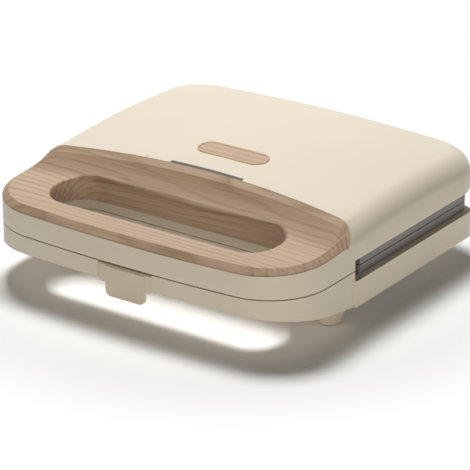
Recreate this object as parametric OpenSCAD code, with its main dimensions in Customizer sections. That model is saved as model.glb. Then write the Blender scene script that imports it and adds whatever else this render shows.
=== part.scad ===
// Sandwich toaster with a hinged lid, a looped handle and a wood handle trim.
// Millimetres. +Z up, front faces -Y, origin on the table under the middle.

/* [Body] */
// Width of the lid and of the handle
body_w = 250; // [236:1:270]
// Depth from the front of the handle to the rear of the lid
body_d = 245; // [238:1:262]
// Height of the body's underside above the table
foot_h = 17.5; // [14:0.5:24]
// Height of the base from its underside to the seam
base_h = 25; // [24:0.5:32]
// Height of the lid from the seam to its highest point
lid_h = 40; // [39:0.5:48]
// Wall thickness of the mouldings
wall = 2.8; // [2:0.1:3.2]
// Gap between lid and base at the seam
seam_gap = 0.6; // [0.4:0.1:1]
// Radius of the bowed front
bow_r = 1200; // [900:10:2000]
// Plan radius of the handle's front corners
front_corner_r = 44; // [38:1:50]
// Plan radius of the lid's rear corners
rear_corner_r = 31; // [24:1:36]

/* [Lid] */
// Radius along the top edge of the lid
top_fillet = 14.5; // [10:0.5:16]
// Fall of the top from the middle to the sides
side_crown = 5; // [2:0.5:6]
// Fall of the top from the middle to the front and the rear
length_crown = 3; // [1:0.5:4]
// Height of the lid's skirt above the seam, behind the handle
skirt_lift = 7.1; // [5:0.1:9]

/* [Base] */
// Depth of the handle, front to the recess in the side
handle_d = 79.5; // [78:0.5:84]
// Thickness of the base half of the handle at its front
handle_base_h = 12.1; // [11:0.1:14]
// How far the base stands proud of the handle on each side
base_step = 1.5; // [0.5:0.1:2.5]
// Distance from the rear of the lid to the rear of the base
base_rear_gap = 17; // [15:0.5:20]
// Plan radius of the base's rear corners
base_corner_r = 9; // [6:0.5:14]
// Depth of the ledge below the seam
ledge_drop = 6.6; // [6.2:0.1:8]

/* [Handle opening] */
// Width of the opening
hole_w = 178; // [160:1:182]
// Distance from the front of the handle to the opening
hole_front = 24; // [22:0.5:26]
// Depth of the opening for the fingers
hole_d = 43; // [38:0.5:44]
// Corner radius of the opening
hole_r = 20; // [14:0.5:21]

/* [Wood trim] */
// Height of the trim's lower edge above the seam at the front
trim_lift = 15.8; // [15:0.1:18]
// Slope of the seat under the trim, rising to the rear
seat_angle = 3.2; // [2:0.1:4]
// Width and height of the bevel round the trim
trim_bevel = 4.4; // [3:0.1:5]
// Distance from the front of the handle to the ridge
ridge_d = 90.3; // [89:0.1:94]
// Plan radius of the ridge
ridge_r = 700; // [600:10:1000]
// Plan radius where the ridge turns into the side
ridge_end_r = 11; // [8:0.5:13]
// Wall thickness of the trim's collar in the opening
collar_t = 2.4; // [1.8:0.1:3]
// Height of the collar's lower edge above the seam
collar_lift = 6.5; // [5:0.1:8]

/* [Cooking plates] */
// Distance from the sides of the lid to the cooking plates
plate_side = 3.1; // [3.1:0.1:8]
// Distance from the rear of the lid to the cooking plates
plate_rear = 24; // [23:0.5:31]
// Distance from the front of the handle to the plates
plate_front = 90; // [89:0.5:91]
// Depth of a sandwich pocket
pocket_depth = 9; // [7:0.5:9.5]
// Thickness of a plate under its pockets
plate_floor = 2.7; // [2:0.1:3]
// Width of the rim and of the ribs between pockets
rib_w = 5; // [4:0.5:7]
// Diameter of the heating element's tube
element_d = 6.4; // [5:0.2:6.6]
// Thickness of the sheet metal reflectors
sheet_t = 0.8; // [0.5:0.1:1]

/* [Hinge and latch] */
// Distance from the rear of the lid to the hinge axis
hinge_in = 13; // [12:0.5:13.5]
// Diameter of the hinge pins
hinge_pin_d = 3.6; // [3:0.1:4.4]
// Outer diameter of the hinge eyes
hinge_eye_d = 10; // [9:0.5:10.5]
// Width of a hinge arm on the base
arm_w = 8; // [6:0.5:10]
// Distance of each hinge arm from the middle
arm_x = 82; // [60:1:84]
// Running clearance round the pins
pin_play = 0.05; // [0.02:0.01:0.09]
// Clearance between parts that pass each other
play = 0.3; // [0.2:0.05:0.5]
// Width of the latch plate
latch_w = 43; // [38:0.5:48]
// Width of the latch's finger tab
tab_w = 31; // [26:0.5:34]
// Length of the finger tab below the latch plate
tab_h = 9.2; // [6:0.2:11]
// Thickness of the latch plate
latch_t = 2.6; // [2:0.1:3]
// Diameter of the latch pin
latch_pin_d = 2.4; // [2:0.1:3]

/* [Badge, lamps and feet] */
// Length of the badge
badge_w = 55; // [44:0.5:60]
// Width of the badge
badge_d = 18.5; // [14:0.5:20]
// Width of the indicator window
window_w = 58; // [46:1:64]
// Depth of the indicator window
window_d = 2.9; // [2:0.1:3.5]
// Diameter of the indicator lamps
lamp_d = 5; // [3:0.5:6]
// Distance from the ridge to the middle of the badge
badge_back = 32.2; // [26:0.2:40]
// Diameter of a foot where it meets the body
foot_top_d = 27; // [18:0.5:30]
// Diameter of a foot at the table
foot_low_d = 17; // [11:0.5:19]
// Distance of the front feet from the middle
front_foot_x = 103.2; // [90:0.1:108]
// Distance of the front feet behind the front of the side recess
front_foot_in = 3.9; // [0:0.1:14]
// Distance of the rear feet from the middle
rear_foot_x = 85; // [60:1:108]
// Distance of the rear feet from the rear of the base
rear_foot_in = 28; // [24:0.5:40]
// Diameter of the thermostat
thermostat_d = 18; // [12:1:20]
// Diameter of the cord inlet
inlet_d = 12; // [9:0.5:13]

/* [Hidden] */
$fn = 48;
eps = 0.01;

// Colours
cream = [0.86, 0.80, 0.69];
cream_latch = [0.80, 0.73, 0.60];
wood = [0.76, 0.62, 0.48];
dark = [0.30, 0.29, 0.28];
steel = [0.70, 0.70, 0.70];

// Heights
seam_z = foot_h + base_h;
lid_low = seam_z + seam_gap / 2;
base_top = seam_z - seam_gap / 2;
lid_top = seam_z + lid_h;
skirt_z = seam_z + skirt_lift;
ledge_z = seam_z - ledge_drop;
seat_z = seam_z + trim_lift;
collar_z = seam_z + collar_lift;
cover_t = 2.5;

// Places along the depth
front_y = -body_d / 2;
rear_y = body_d / 2;
recess_y = front_y + handle_d;
ridge_y = front_y + ridge_d;
top_mid_y = (ridge_y + rear_y - top_fillet) / 2;
base_rear_y = rear_y - base_rear_gap;
hinge_y = rear_y - hinge_in;
hole_y0 = front_y + hole_front;
hole_y1 = hole_y0 + hole_d;
plate_w = body_w - 2 * plate_side;
plate_d = body_d - plate_front - plate_rear;
plate_y = front_y + plate_front + plate_d / 2;
base_w = body_w + 2 * base_step;

// Heating set: sizes measured from the seam outwards
plate_back = pocket_depth + plate_floor + seam_gap / 2;
stud_d = 8;
stud_in_x = 14;
stud_in_y = 26;
stud_x = plate_w / 2 - stud_in_x;
stud_y = plate_d / 2 - stud_in_y;
post_x = stud_x - 34;
reflector_at = plate_back + element_d + 1.1;
reflector_w = 2 * stud_x + stud_d;
reflector_d = 2 * stud_y + 16;
screw_d = 3;
screw_head_d = 6;
screw_head_h = 1.5;
loop_x = stud_x - 18;
loop_y = stud_y - 8;
loop_r = 12;
tail_x = 14;

// Latch
latch_top = base_top - 1.2;
latch_chamfer = 1.2;
wing_back = 0.7;
latch_drop = handle_base_h + 0.5;
latch_low = seam_z - latch_drop - 1.5;
knuckle_d = latch_pin_d + 3.4;
pivot_y = front_y + latch_t + wing_back + play + knuckle_d / 2;
pivot_z = seam_z - 5.2;
knuckle_w = 6;
notch_w = latch_w + 2 * play;
notch_d = latch_t + 8.2;
bracket_t = 2;
bracket_depth = pivot_y + knuckle_d / 2 + 1 - front_y;
handle_cover_t = 2;
cover_play = 0.1;

foot_y0 = recess_y + front_foot_in;
foot_y1 = base_rear_y - rear_foot_in;
pad_d = foot_low_d - 5;
pad_h = 1.5;
pad_out = 0.5;

// Points of an arc about [cx, cy], first and last included
function arc(cx, cy, r, a0, a1, n) =
    [for (i = [0:n]) [cx + r * cos(a0 + (a1 - a0) * i / n), cy + r * sin(a0 + (a1 - a0) * i / n)]];

// Centre of a front corner that is tangent to the side and to the bowed front
function corner_c(w) = [w / 2 - front_corner_r, front_y + bow_r
    - sqrt(pow(bow_r - front_corner_r, 2) - pow(w / 2 - front_corner_r, 2))];
function bow_end(w) = atan2(corner_c(w)[1] - front_y - bow_r, corner_c(w)[0]);

// Right half of an outline, front middle to rear middle, drawn in by e
function half_outline(w, yr, rr, e, n = 8) = concat(
    arc(0, front_y + bow_r, bow_r - e, -90, bow_end(w), 5),
    [for (i = [1:n]) let (a = bow_end(w) * (1 - i / n), r = front_corner_r - e, c = corner_c(w))
        [c[0] + r * cos(a), c[1] + r * sin(a)]],
    arc(w / 2 - rr, yr - rr, max(rr - e, 0.5), 0, 90, n),
    [[0, yr - e]]);

// Closed outline from its right half
function full(h) = concat(h, [for (i = [len(h) - 2:-1:1]) [-h[i][0], h[i][1]]]);

module outline(w, yr, rr, e) {
    polygon(full(half_outline(w, yr, rr, e)));
}

// Height of the domed top before the edge fillet
function top_z(x, y) = lid_top - side_crown * pow(x / (body_w / 2), 2)
    - length_crown * pow((max(y, ridge_y) - top_mid_y) / (top_mid_y - ridge_y), 2);

// Outer form of the lid: stacked rings round the fillet, closed by a crowned top
fillet_steps = 4;
top_cols = 8;
module lid_form() {
    insets = concat([0], [for (k = [0:fillet_steps]) top_fillet * (1 - cos(90 * k / fillet_steps))]);
    drops = [for (k = [0:fillet_steps]) top_fillet * (1 - sin(90 * k / fillet_steps))];
    halves = [for (e = insets) half_outline(body_w, rear_y, rear_corner_r, e)];
    h = len(halves[0]) - 1;
    n = 2 * h;
    rows = len(insets);
    rings = [for (k = [0:rows - 1]) for (p = full(halves[k]))
        [p[0], p[1], k == 0 ? lid_low : top_z(p[0], p[1]) - drops[k - 1]]];
    last = halves[rows - 1];
    inner = [for (i = [1:h - 1]) for (j = [1:top_cols - 1])
        let (x = last[i][0] * (1 - 2 * j / top_cols)) [x, last[i][1], top_z(x, last[i][1])]];
    ring0 = (rows - 1) * n;
    cap0 = rows * n;
    function at(i, j) = j == 0 ? ring0 + i
        : j == top_cols ? ring0 + n - i
        : cap0 + (i - 1) * (top_cols - 1) + j - 1;
    sides = [for (k = [0:rows - 2]) for (i = [0:n - 1]) let (a = k * n + i, b = k * n + (i + 1) % n)
        each [[a, a + n, b], [b, a + n, b + n]]];
    cap = [for (i = [1:h - 2]) for (j = [0:top_cols - 1])
        each [[at(i, j), at(i, j + 1), at(i + 1, j)], [at(i + 1, j), at(i, j + 1), at(i + 1, j + 1)]]];
    ends = [for (j = [0:top_cols - 1])
        each [[ring0, at(1, j + 1), at(1, j)], [ring0 + h, at(h - 1, j), at(h - 1, j + 1)]]];
    floor_face = [[for (i = [0:n - 1]) i]];
    polyhedron(concat(rings, inner), concat(sides, cap, ends, floor_face));
}

// Finger opening through both halves of the handle, drawn out by e
module hole_plan(e) {
    w = hole_w / 2 + e;
    r = hole_r + e;
    polygon(concat(
        arc(w - r, hole_y0 - e + r, r, -90, 0, 8), arc(w - r, hole_y1 + e - r, r, 0, 90, 8),
        arc(r - w, hole_y1 + e - r, r, 90, 180, 8), arc(r - w, hole_y0 - e + r, r, 180, 270, 8)));
}

module hole_cut(e, z0, z1) {
    translate([0, 0, z0]) linear_extrude(z1 - z0) hole_plan(e);
}

// Ridge line from the middle to the side: right half, rear middle first
ridge_end_x = body_w / 2 - ridge_end_r;
function ridge_at(x) = ridge_y - x * x / (2 * ridge_r);
ridge_end_y = ridge_at(ridge_end_x) - ridge_end_r;
ridge_half = concat([for (i = [0:6]) [ridge_end_x * i / 6, ridge_at(ridge_end_x * i / 6)]],
    [for (i = [1:6]) let (a = 90 - 90 * i / 6)
        [ridge_end_x + ridge_end_r * cos(a), ridge_end_y + ridge_end_r * sin(a)]]);

// Space that the trim takes out of the lid, above its sloping seat
module trim_space() {
    out = 10;
    edge = concat([[body_w / 2 + out, front_y - out]], [[body_w / 2 + out, ridge_end_y]],
        [for (i = [len(ridge_half) - 1:-1:0]) ridge_half[i]]);
    left = [for (i = [len(edge) - 2:-1:0]) [-edge[i][0], edge[i][1]]];
    difference() {
        translate([0, 0, seat_z - 1]) linear_extrude(lid_h) polygon(concat(edge, left));
        translate([0, front_y, seat_z]) rotate([seat_angle, 0, 0]) translate([-body_w, -body_d, -20])
            cube([2 * body_w, 2 * body_d, 20]);
    }
}

// Half round ended prism, used for cavities in the lid behind the handle
module lid_pocket(e, y0, z0, z1) {
    intersection() {
        translate([0, 0, z0]) linear_extrude(z1 - z0) outline(body_w, rear_y, rear_corner_r, e);
        translate([-body_w, y0, z0]) cube([2 * body_w, body_d, z1 - z0]);
    }
}

// Hollow of the lid half of the handle, round the opening
module upper_handle_hollow() {
    difference() {
        translate([0, 0, lid_low - eps]) linear_extrude(trim_lift - wall)
            outline(body_w, rear_y, rear_corner_r, wall);
        translate([-body_w, recess_y - wall, 0]) cube([2 * body_w, body_d, lid_top]);
        hole_cut(collar_t + wall, 0, lid_top);
        latch_block(bracket_depth + wall, 0);
    }
}

// Block behind the front wall, in the middle, that the latch or its bracket sits in
module latch_block(depth, e) {
    translate([-notch_w / 2 - wall - e, front_y - 1, 0])
        cube([notch_w + 2 * (wall + e), depth + 1 + e, 2 * lid_top]);
}

slot_w = window_w + 0.2;
slot_y = ridge_y - 0.05;
lamp_y = slot_y + 6.2;
roof_z = top_z(0, ridge_y) - 7.2;
window_foot = 1.6;
badge_y = ridge_y + badge_back;
badge_sink = 1.2;
badge_z = top_z(0, badge_y) - badge_sink;
skirt_fillet_z = lid_top - side_crown - length_crown - top_fillet;

module badge_shape(e, h) {
    r = badge_d / 2 + e;
    x = badge_w / 2 - badge_d / 2;
    linear_extrude(h) polygon(concat(arc(x, 0, r, -90, 90, 12), arc(-x, 0, r, 90, 270, 12)));
}

// Tilts a flat shape to lie on the rising top at the badge
module on_badge() {
    rise = atan((top_z(0, badge_y + 5) - top_z(0, badge_y - 5)) / 10);
    translate([0, badge_y, badge_z]) rotate([rise, 0, 0]) children();
}

module upper_housing() {
    color(cream) difference() {
        lid_form();
        trim_space();
        hole_cut(0, lid_low - 1, lid_top);
        hole_cut(collar_t, collar_z, lid_top);
        upper_handle_hollow();
        translate([-body_w, recess_y, lid_low - 1]) cube([2 * body_w, body_d, skirt_z - lid_low + 1]);
        lid_pocket(wall, recess_y + wall, skirt_z - 1, skirt_fillet_z);
        lid_pocket(wall + 3.4, ridge_y + wall, skirt_fillet_z - 1, skirt_fillet_z + 8);
        lid_pocket(top_fillet, ridge_y + wall, skirt_fillet_z, roof_z - 0.4);
        translate([-slot_w / 2, slot_y - 1, roof_z - window_foot - 0.4])
            cube([slot_w, window_d + 1.1, lid_h]);
        on_badge() badge_shape(0.1, 6);
        translate([-ear_x - bracket_t - 0.1, pivot_y - knuckle_d / 2 - 0.1, lid_low - 1])
            cube([2 * (ear_x + bracket_t) + 0.2, knuckle_d + 0.2, bracket_t + 1]);
    }
}

// Height of the trim's top away from the bevel, y measured in the part's frame
bar_z = seat_z + trim_bevel + 0.3;
function flat_z(y) = bar_z + 2.5 * (max(y - front_y, 20) - 20) / 40;
scoop_len = 28;
scoop_power = 2.2;
// The scoop's upper edge keeps its height from this distance inside the side
crest_inset = 5.6;
function scoop_z(x, y, zr) =
    let (d = ridge_at(x) - y, k = min(max((scoop_len - d) / (scoop_len - trim_bevel), 0), 1))
    flat_z(y) + (zr - flat_z(y)) * pow(k, scoop_power);

// Rings of the trim, each a closed line of the same number of points.
// Right half of the trim's outer edge: front, corner, side, ridge end, ridge.
function trim_half(e) = concat(
    arc(0, front_y + bow_r, bow_r - e, -90, bow_end(body_w), 4),
    [for (i = [1:6]) let (a = bow_end(body_w) * (1 - i / 6), r = front_corner_r - e, c = corner_c(body_w))
        [c[0] + r * cos(a), c[1] + r * sin(a)]],
    [for (i = [1:2]) let (y0 = corner_c(body_w)[1]) [body_w / 2 - e, y0 + (ridge_end_y - y0) * i / 3]],
    [for (i = [0:6]) let (a = 15 * i, r = ridge_end_r - e)
        [ridge_end_x + r * cos(a), ridge_end_y + r * sin(a)]],
    [for (i = [5:-1:0]) [ridge_end_x * i / 6, ridge_at(ridge_end_x * i / 6) - e]]);
trim_n = len(trim_half(0));

// Right half of the opening's edge with as many points, drawn out by e
function hole_half(e) =
    let (w = hole_w / 2 + e, r = hole_r + e, front = 4, back = 6, round = trim_n - front - back)
    concat([for (i = [0:front - 1]) [(w - r) * i / front, hole_y0 - e]],
        [for (i = [0:round]) let (t = i / round) t < 0.5
            ? [w - r + r * cos(-90 + 180 * t), hole_y0 - e + r + r * sin(-90 + 180 * t)]
            : [w - r + r * cos(180 * t - 90), hole_y1 + e - r + r * sin(180 * t - 90)]],
        [for (i = [back - 2:-1:0]) [(w - r) * i / (back - 1), hole_y1 + e]]);

function seat_at(y) = seat_z + (y - front_y) * tan(seat_angle);
function shell_z(x, y) = let (d = max(abs(x) - body_w / 2 + top_fillet, 0))
    top_z(x, y) - top_fillet + sqrt(max(pow(top_fillet, 2) - d * d, 0));
// Height of the visible lower edge: on the side just over the seat, behind at the lid's surface
trim_lip = 0.6;
ridge_start = 13;
function edge_z(i) = let (p = trim_half(0)[i], low = seat_at(p[1]) + trim_lip)
    i < ridge_start ? low : max(shell_z(p[0], p[1]), low);
function mix(a, b, t) = a + (b - a) * t;

module handle_trim() {
    n = 2 * (trim_n - 1);
    outer = trim_half(0);
    bevel = trim_half(trim_bevel);
    rim = hole_half(0);
    collar = hole_half(collar_t);
    ts = [0, 0.25, 0.5, 0.75, 1];
    function crest(p) = shell_z(min(abs(p[0]), body_w / 2 - crest_inset), p[1]) - 0.7 * trim_bevel;
    function lift(p) = [p[0], p[1], scoop_z(p[0], p[1], max(crest(p), flat_z(p[1])))];
    rows = concat(
        [[for (i = [0:trim_n - 1]) [outer[i][0], outer[i][1], seat_at(outer[i][1])]]],
        [[for (i = [0:trim_n - 1]) [outer[i][0], outer[i][1], edge_z(i)]]],
        [for (t = ts) [for (i = [0:trim_n - 1]) lift(mix(bevel[i], rim[i], t))]],
        [[for (i = [0:trim_n - 1]) [rim[i][0], rim[i][1], collar_z]]],
        [[for (i = [0:trim_n - 1]) [collar[i][0], collar[i][1], collar_z]]],
        [[for (i = [0:trim_n - 1]) [collar[i][0], collar[i][1], seat_at(collar[i][1])]]]);
    m = len(rows);
    pts = [for (r = rows) for (i = [0:n - 1]) i < trim_n ? r[i] : [-r[n - i][0], r[n - i][1], r[n - i][2]]];
    faces = [for (k = [0:m - 1]) for (i = [0:n - 1])
        let (j = (i + 1) % n, l = (k + 1) % m, a = k * n + i, b = k * n + j, c = l * n + i, d = l * n + j)
        each [[a, c, b], [b, c, d]]];
    color(wood) polyhedron(pts, faces);
}

module badge_plate() {
    color(wood) on_badge() difference() {
        badge_shape(0, badge_sink + 0.5);
        translate([0, 0, badge_sink]) badge_shape(-1.2, 2);
    }
}

module indicator_window() {
    top = top_z(window_w / 2, ridge_y) - 0.05;
    color([0.28, 0.26, 0.22]) {
        translate([-window_w / 2, slot_y + 0.1, roof_z - window_foot])
            cube([window_w, window_d, top - roof_z + window_foot]);
        translate([-window_w / 2, slot_y + 0.1, roof_z - window_foot - 0.4])
            cube([window_w, lamp_y + lamp_d / 2 - slot_y, window_foot]);
    }
}

holder_drop = 9;
holder_low = roof_z - 0.4 - holder_drop;
module lamp_holder() {
    color([0.85, 0.85, 0.8]) {
        translate([-window_w / 2 - 4, lamp_y - lamp_d / 2, holder_low])
            cube([window_w + 8, lamp_d + 3, wall]);
        for (s = [-1, 1])
            translate([s * (window_w / 2 + 2.5) - 1.5, lamp_y - lamp_d / 2, holder_low + wall])
                cube([3, lamp_d + 3, holder_drop - wall]);
    }
}

module indicator_lamps() {
    z0 = holder_low + wall;
    color([0.8, 0.3, 0.2]) for (s = [-1, 1]) translate([s * window_w / 4, lamp_y, z0])
        cylinder(d = lamp_d, h = roof_z - window_foot - 0.4 - z0);
}

// Cover that closes the lid half of the handle from below
module upper_handle_cover() {
    color(cream) difference() {
        translate([0, 0, lid_low]) linear_extrude(handle_cover_t)
            outline(body_w, rear_y, rear_corner_r, wall + cover_play);
        translate([-body_w, recess_y - wall - cover_play, 0]) cube([2 * body_w, body_d, lid_top]);
        hole_cut(collar_t + wall + cover_play, 0, lid_top);
        latch_block(bracket_depth + wall, cover_play);
    }
}

// Cover that closes the base half of the handle from above
module lower_handle_cover() {
    color(cream) difference() {
        translate([0, 0, base_top - handle_cover_t]) linear_extrude(handle_cover_t)
            outline(body_w, rear_y, rear_corner_r, wall + cover_play);
        translate([-body_w, recess_y - wall - cover_play, 0]) cube([2 * body_w, body_d, lid_top]);
        hole_cut(wall + cover_play, 0, lid_top);
        latch_block(notch_d + wall, cover_play);
    }
}

// ---- Heating set, drawn upwards from the seam ----

// Triangular pocket: right angle at the origin, legs a along X and b along Y
module pocket(a, b) {
    draft = 3;
    function tri(e) = let (k = 3) [[e + k, e], [a - 3 * e - 2 * k, e], [a - 3 * e - k, e + k],
        [e + k, b - 3 * e - k], [e, b - 3 * e - 2 * k], [e, e + k]];
    low = tri(draft);
    top = tri(0);
    n = len(low);
    z0 = seam_gap / 2 - 0.5;
    points = concat([for (p = top) [p[0], p[1], z0]], [for (p = low) [p[0], p[1], pocket_depth]]);
    walls = [for (i = [0:n - 1]) let (j = (i + 1) % n) each [[i, i + n, j], [j, i + n, j + n]]];
    polyhedron(points, concat([[for (i = [0:n - 1]) i]], [[for (i = [n - 1:-1:0]) n + i]], walls));
}

module plate_form() {
    half_w = plate_w / 2 - 1.5 * rib_w;
    leg_x = half_w - rib_w;
    leg_y = plate_d - 3 * rib_w;
    difference() {
        union() {
            translate([-plate_w / 2, plate_y - plate_d / 2, seam_gap / 2])
                cube([plate_w, plate_d, ledge_drop - seam_gap / 2 - 0.3]);
            translate([-plate_w / 2 + 1.5, plate_y - plate_d / 2 + 1.5, ledge_drop - 1])
                cube([plate_w - 3, plate_d - 3, plate_back - ledge_drop + 1]);
            for (x = [-stud_x, stud_x]) for (y = [-stud_y, stud_y])
                translate([x, plate_y + y, plate_back - eps])
                    cylinder(d = stud_d, h = reflector_at - plate_back + eps);
        }
        for (s = [0, 1]) mirror([s, 0, 0]) {
            translate([rib_w / 2, plate_y - plate_d / 2 + rib_w, 0]) pocket(leg_x, leg_y);
            translate([rib_w / 2 + half_w, plate_y + plate_d / 2 - rib_w, 0])
                rotate(180) pocket(leg_x, leg_y);
        }
        for (x = [-stud_x, stud_x]) for (y = [-stud_y, stud_y])
            translate([x, plate_y + y, plate_back]) cylinder(d = screw_d, h = reflector_at);
    }
}

// Quarter bend of a tube about the origin, starting at angle a
module bend(r, d, a) {
    rotate(a) rotate_extrude(angle = 90) translate([r, 0]) circle(d = d, $fn = 24);
}

module rod_x(x0, x1, d) {
    translate([x0, 0, 0]) rotate([0, 90, 0]) cylinder(d = d, h = x1 - x0, $fn = 24);
}

module rod_y(y0, y1, d) {
    translate([0, y0, 0]) rotate([-90, 0, 0]) cylinder(d = d, h = y1 - y0, $fn = 24);
}

module element_form() {
    d = element_d;
    translate([0, plate_y, plate_back + d / 2]) {
        for (s = [0, 1]) mirror([s, 0, 0]) {
            translate([tail_x, 0, 0]) rod_y(loop_y + loop_r, loop_y + loop_r + 12, d);
            translate([tail_x + loop_r, loop_y + loop_r, 0]) bend(loop_r, d, 180);
            translate([0, loop_y, 0]) rod_x(tail_x + loop_r, loop_x - loop_r, d);
            translate([loop_x - loop_r, loop_y - loop_r, 0]) bend(loop_r, d, 0);
            translate([loop_x, 0, 0]) rod_y(loop_r - loop_y, loop_y - loop_r, d);
            translate([loop_x - loop_r, loop_r - loop_y, 0]) bend(loop_r, d, 270);
            translate([0, -loop_y, 0]) rod_x(0, loop_x - loop_r, d);
        }
    }
}

module reflector_form() {
    translate([0, plate_y, reflector_at]) difference() {
        translate([-reflector_w / 2, -reflector_d / 2, 0]) cube([reflector_w, reflector_d, sheet_t]);
        for (x = [-stud_x, stud_x]) for (y = [-stud_y, stud_y])
            translate([x, y, -1]) cylinder(d = screw_d, h = sheet_t + 2);
    }
}

module plate_screw_form() {
    for (x = [-stud_x, stud_x]) for (y = [-stud_y, stud_y]) translate([x, plate_y + y, 0]) {
        translate([0, 0, plate_back + 1])
            cylinder(d = screw_d, h = reflector_at + sheet_t - plate_back - 1);
        translate([0, 0, reflector_at + sheet_t]) cylinder(d = screw_head_d, h = screw_head_h);
    }
}

module in_lid() {
    translate([0, 0, seam_z]) children();
}

module in_base() {
    translate([0, 0, seam_z]) mirror([0, 0, 1]) children();
}

module upper_plate() {
    color(dark) in_lid() plate_form();
}

module lower_plate() {
    color(dark) in_base() plate_form();
}

module upper_element() {
    color(steel) in_lid() element_form();
}

module lower_element() {
    color(steel) in_base() element_form();
}

// The lid's reflector hangs from the roof on four posts
module upper_reflector() {
    z0 = reflector_at + sheet_t;
    color(steel) in_lid() {
        reflector_form();
        for (x = [-post_x, post_x]) for (y = [-stud_y, stud_y]) translate([x, plate_y + y, z0 - eps])
            cylinder(d = stud_d, h = roof_z - 0.4 - seam_z - z0 + eps);
    }
}

// The base's reflector stands on the bottom cover by four short posts
module lower_reflector() {
    z0 = reflector_at + sheet_t;
    color(steel) in_base() {
        reflector_form();
        for (x = [-post_x, post_x]) for (y = [-stud_y, stud_y]) translate([x, plate_y + y, z0 - eps])
            cylinder(d = stud_d, h = base_h - cover_t - z0 + eps);
    }
}

module upper_plate_screws() {
    color(steel) in_lid() plate_screw_form();
}

module lower_plate_screws() {
    color(steel) in_base() plate_screw_form();
}

module thermostat() {
    color([0.9, 0.88, 0.8]) in_base() translate([0, plate_y, plate_back])
        cylinder(d = thermostat_d, h = reflector_at - plate_back);
}

module thermal_fuse() {
    color(steel) in_lid() translate([0, plate_y, plate_back + 2]) rod_x(-7, 7, 4);
}

// ---- Base ----

// Sloping underside of the base half of the handle
module handle_under(extra) {
    z0 = seam_z - handle_base_h + extra;
    slope = atan((base_h - handle_base_h) / handle_d);
    translate([0, front_y, z0]) rotate([-slope, 0, 0]) translate([-body_w, -body_d / 2, -2 * seam_z])
        cube([2 * body_w, body_d / 2 + handle_d / cos(slope) + 40, 2 * seam_z]);
}

// Bosses that take the cover's screws, each with a web to the wall
module cover_bosses() {
    h = base_h - cover_t - plate_back - 1;
    web = base_w / 2 - wall - cover_screw_x + 0.5;
    for (s = [-1, 1]) for (y = cover_screw_y)
        translate([s * cover_screw_x, y, foot_h + cover_t]) difference() {
            union() {
                cylinder(d = boss_d, h = h);
                translate([s > 0 ? 0 : -web, -1.5, 0]) cube([web, 3, h]);
            }
            translate([0, 0, -1]) cylinder(d = screw_d, h = h + 2);
        }
}

module lower_housing() {
    color(cream) cover_bosses();
    color(cream) difference() {
        union() {
            difference() {
                translate([0, 0, foot_h]) linear_extrude(base_top - foot_h)
                    outline(body_w, rear_y, rear_corner_r, 0);
                handle_under(0);
                translate([-body_w, recess_y, 0]) cube([2 * body_w, body_d, lid_top]);
            }
            translate([0, 0, foot_h]) linear_extrude(ledge_z - foot_h) intersection() {
                outline(base_w, base_rear_y, base_corner_r, 0);
                translate([-body_w, recess_y - eps]) square([2 * body_w, body_d]);
            }
        }
        // hollow of the tub, open below, and the seat of the plate above it
        translate([0, 0, foot_h - 1]) linear_extrude(ledge_z - wall - foot_h + 1) intersection() {
            outline(base_w, base_rear_y, base_corner_r, wall);
            translate([-body_w, recess_y + wall]) square([2 * body_w, body_d]);
        }
        translate([-plate_w / 2 + 1.5 - play, plate_y - plate_d / 2 + 1.5 - play, foot_h])
            cube([plate_w - 3 + 2 * play, plate_d - 3 + 2 * play, base_h]);
        // hollow of the handle
        difference() {
            translate([0, 0, foot_h]) linear_extrude(base_h) outline(body_w, rear_y, rear_corner_r, wall);
            handle_under(wall);
            translate([-body_w, recess_y - wall, 0]) cube([2 * body_w, body_d, lid_top]);
            hole_cut(wall, 0, lid_top);
            latch_block(notch_d + wall, 0);
        }
        hole_cut(0, 0, lid_top);
        translate([-notch_w / 2, front_y - 1, foot_h - 1]) cube([notch_w, notch_d + 1, base_h + 2]);
        translate([inlet_x, base_rear_y - 2 * wall, inlet_z]) rotate([-90, 0, 0])
            cylinder(d = inlet_d, h = 4 * wall);
    }
}

inlet_x = -45;
inlet_z = foot_h + cover_t + inlet_d / 2 + 0.2;
boss_d = 7;
cover_screw_x = base_w / 2 - wall - 5.7;
cover_screw_y = [plate_y - 18, base_rear_y - 14];

module bottom_cover() {
    color(cream) difference() {
        translate([0, 0, foot_h]) linear_extrude(cover_t) intersection() {
            outline(base_w, base_rear_y, base_corner_r, wall + cover_play);
            translate([-body_w, recess_y + wall + cover_play]) square([2 * body_w, body_d]);
        }
        for (x = [-cover_screw_x, cover_screw_x]) for (y = cover_screw_y)
            translate([x, y, foot_h - 1]) cylinder(d = screw_d, h = cover_t + 2);
    }
}

module cover_screws() {
    color(steel) for (x = [-cover_screw_x, cover_screw_x]) for (y = cover_screw_y) translate([x, y, 0]) {
        translate([0, 0, foot_h]) cylinder(d = screw_d, h = 9);
        translate([0, 0, foot_h - screw_head_h]) cylinder(d = screw_head_d, h = screw_head_h);
    }
}

module terminal_block() {
    top = base_h - plate_back - 1;
    color([0.9, 0.9, 0.86]) translate([inlet_x + 8, plate_y + plate_d / 2 - 17, foot_h + cover_t])
        cube([16, 12, top - cover_t]);
}

module supply_wires() {
    z = foot_h + cover_t + 3.5;
    color([0.3, 0.4, 0.6]) for (k = [0, 1]) translate([0, 0, z + 2.6 * k]) {
        translate([0, plate_y + plate_d / 2 - 12, 0]) rod_x(inlet_x + 4, inlet_x + 8, 2.2);
        translate([inlet_x + 4, plate_y + plate_d / 2 - 8, 0]) bend(4, 2.2, 180);
        translate([inlet_x, 0, 0]) rod_y(plate_y + plate_d / 2 - 8, base_rear_y - wall - 4, 2.2);
    }
}

module cord_gland() {
    color(dark) translate([inlet_x, 0, inlet_z]) {
        rod_y(base_rear_y - wall - 4, base_rear_y + 3.5, inlet_d);
        rod_y(base_rear_y, base_rear_y + 1.5, inlet_d + 2);
    }
}

// ---- Hinge ----

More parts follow.
